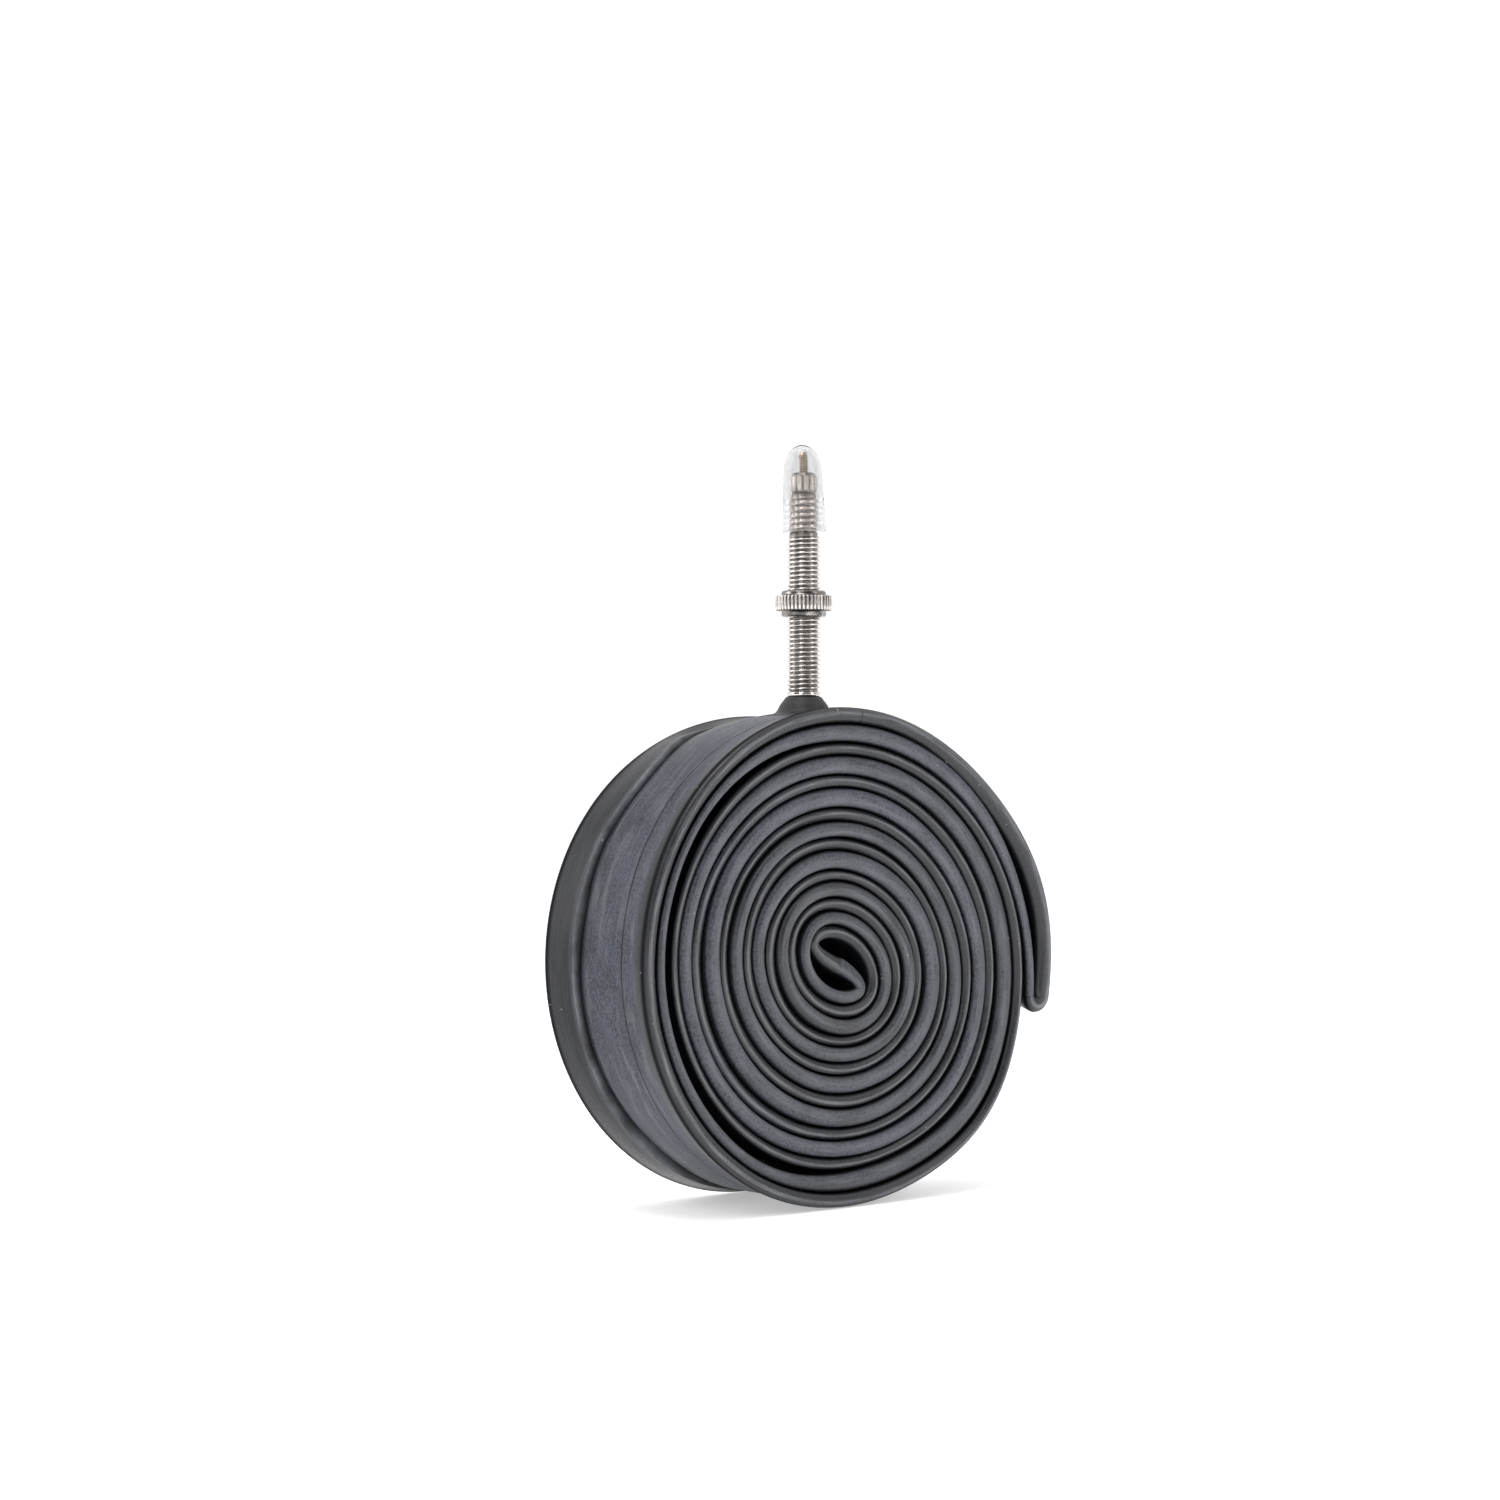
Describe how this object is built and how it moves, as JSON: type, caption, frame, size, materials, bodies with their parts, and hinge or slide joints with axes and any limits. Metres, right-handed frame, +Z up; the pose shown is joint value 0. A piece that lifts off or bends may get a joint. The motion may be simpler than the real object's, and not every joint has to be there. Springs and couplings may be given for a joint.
{
  "type": "bicycle inner tube",
  "caption": "Butyl bicycle inner tube pressed flat and wound into a roll, with a slim threaded pump valve, rim nut, lock nut and clear dust cap.",
  "frame": {"origin": "middle of the bounding box on the ground plane, under the upright roll", "axes": "+Z up along the valve, +Y along the roll's axis away from the coiled face at -Y, +X towards the hairpin at the roll's outer end"},
  "size_m": [0.0956, 0.029, 0.1333],
  "materials": {
    "butyl_rubber": "satin, dusted with talc",
    "moulded_rubber": "satin",
    "seal_rubber": "matte",
    "nickel_plate": "bright nickel plate",
    "warm_nickel": "thin nickel over brass",
    "brass": "drawn, satin",
    "clear_plastic": "clear, glossy"
  },
  "bodies": {
    "tube_and_valve": {"tube": "butyl_rubber", "valve_base": "moulded_rubber", "valve_stem": "nickel_plate", "core_body": "warm_nickel", "core_gasket": "seal_rubber"},
    "rim_nut": {"rim_nut": "nickel_plate"},
    "valve_pin": {"core_pin": "brass", "pin_seal": "seal_rubber"},
    "lock_nut": {"lock_nut": "warm_nickel"},
    "dust_cap": {"dust_cap": "clear_plastic"}
  },
  "joints": [
    {"name": "rim_nut_travel", "type": "slide", "parent": "tube_and_valve", "child": "rim_nut", "axis": [0, 0, 1], "range_m": [-0.0138, 0.0094]},
    {"name": "pin_press", "type": "slide", "parent": "tube_and_valve", "child": "valve_pin", "axis": [0, 0, 1], "range_m": [-0.002, 0]},
    {"name": "lock_nut_unscrew", "type": "slide", "parent": "valve_pin", "child": "lock_nut", "axis": [0, 0, 1], "range_m": [0, 0.002]},
    {"name": "cap_lift", "type": "slide", "parent": "tube_and_valve", "child": "dust_cap", "axis": [0, 0, 1], "range_m": [0, 0.018]}
  ],
  "couplings": [
    {"joint": "pin_press", "follows": "lock_nut_unscrew", "ratio": -1}
  ]
}
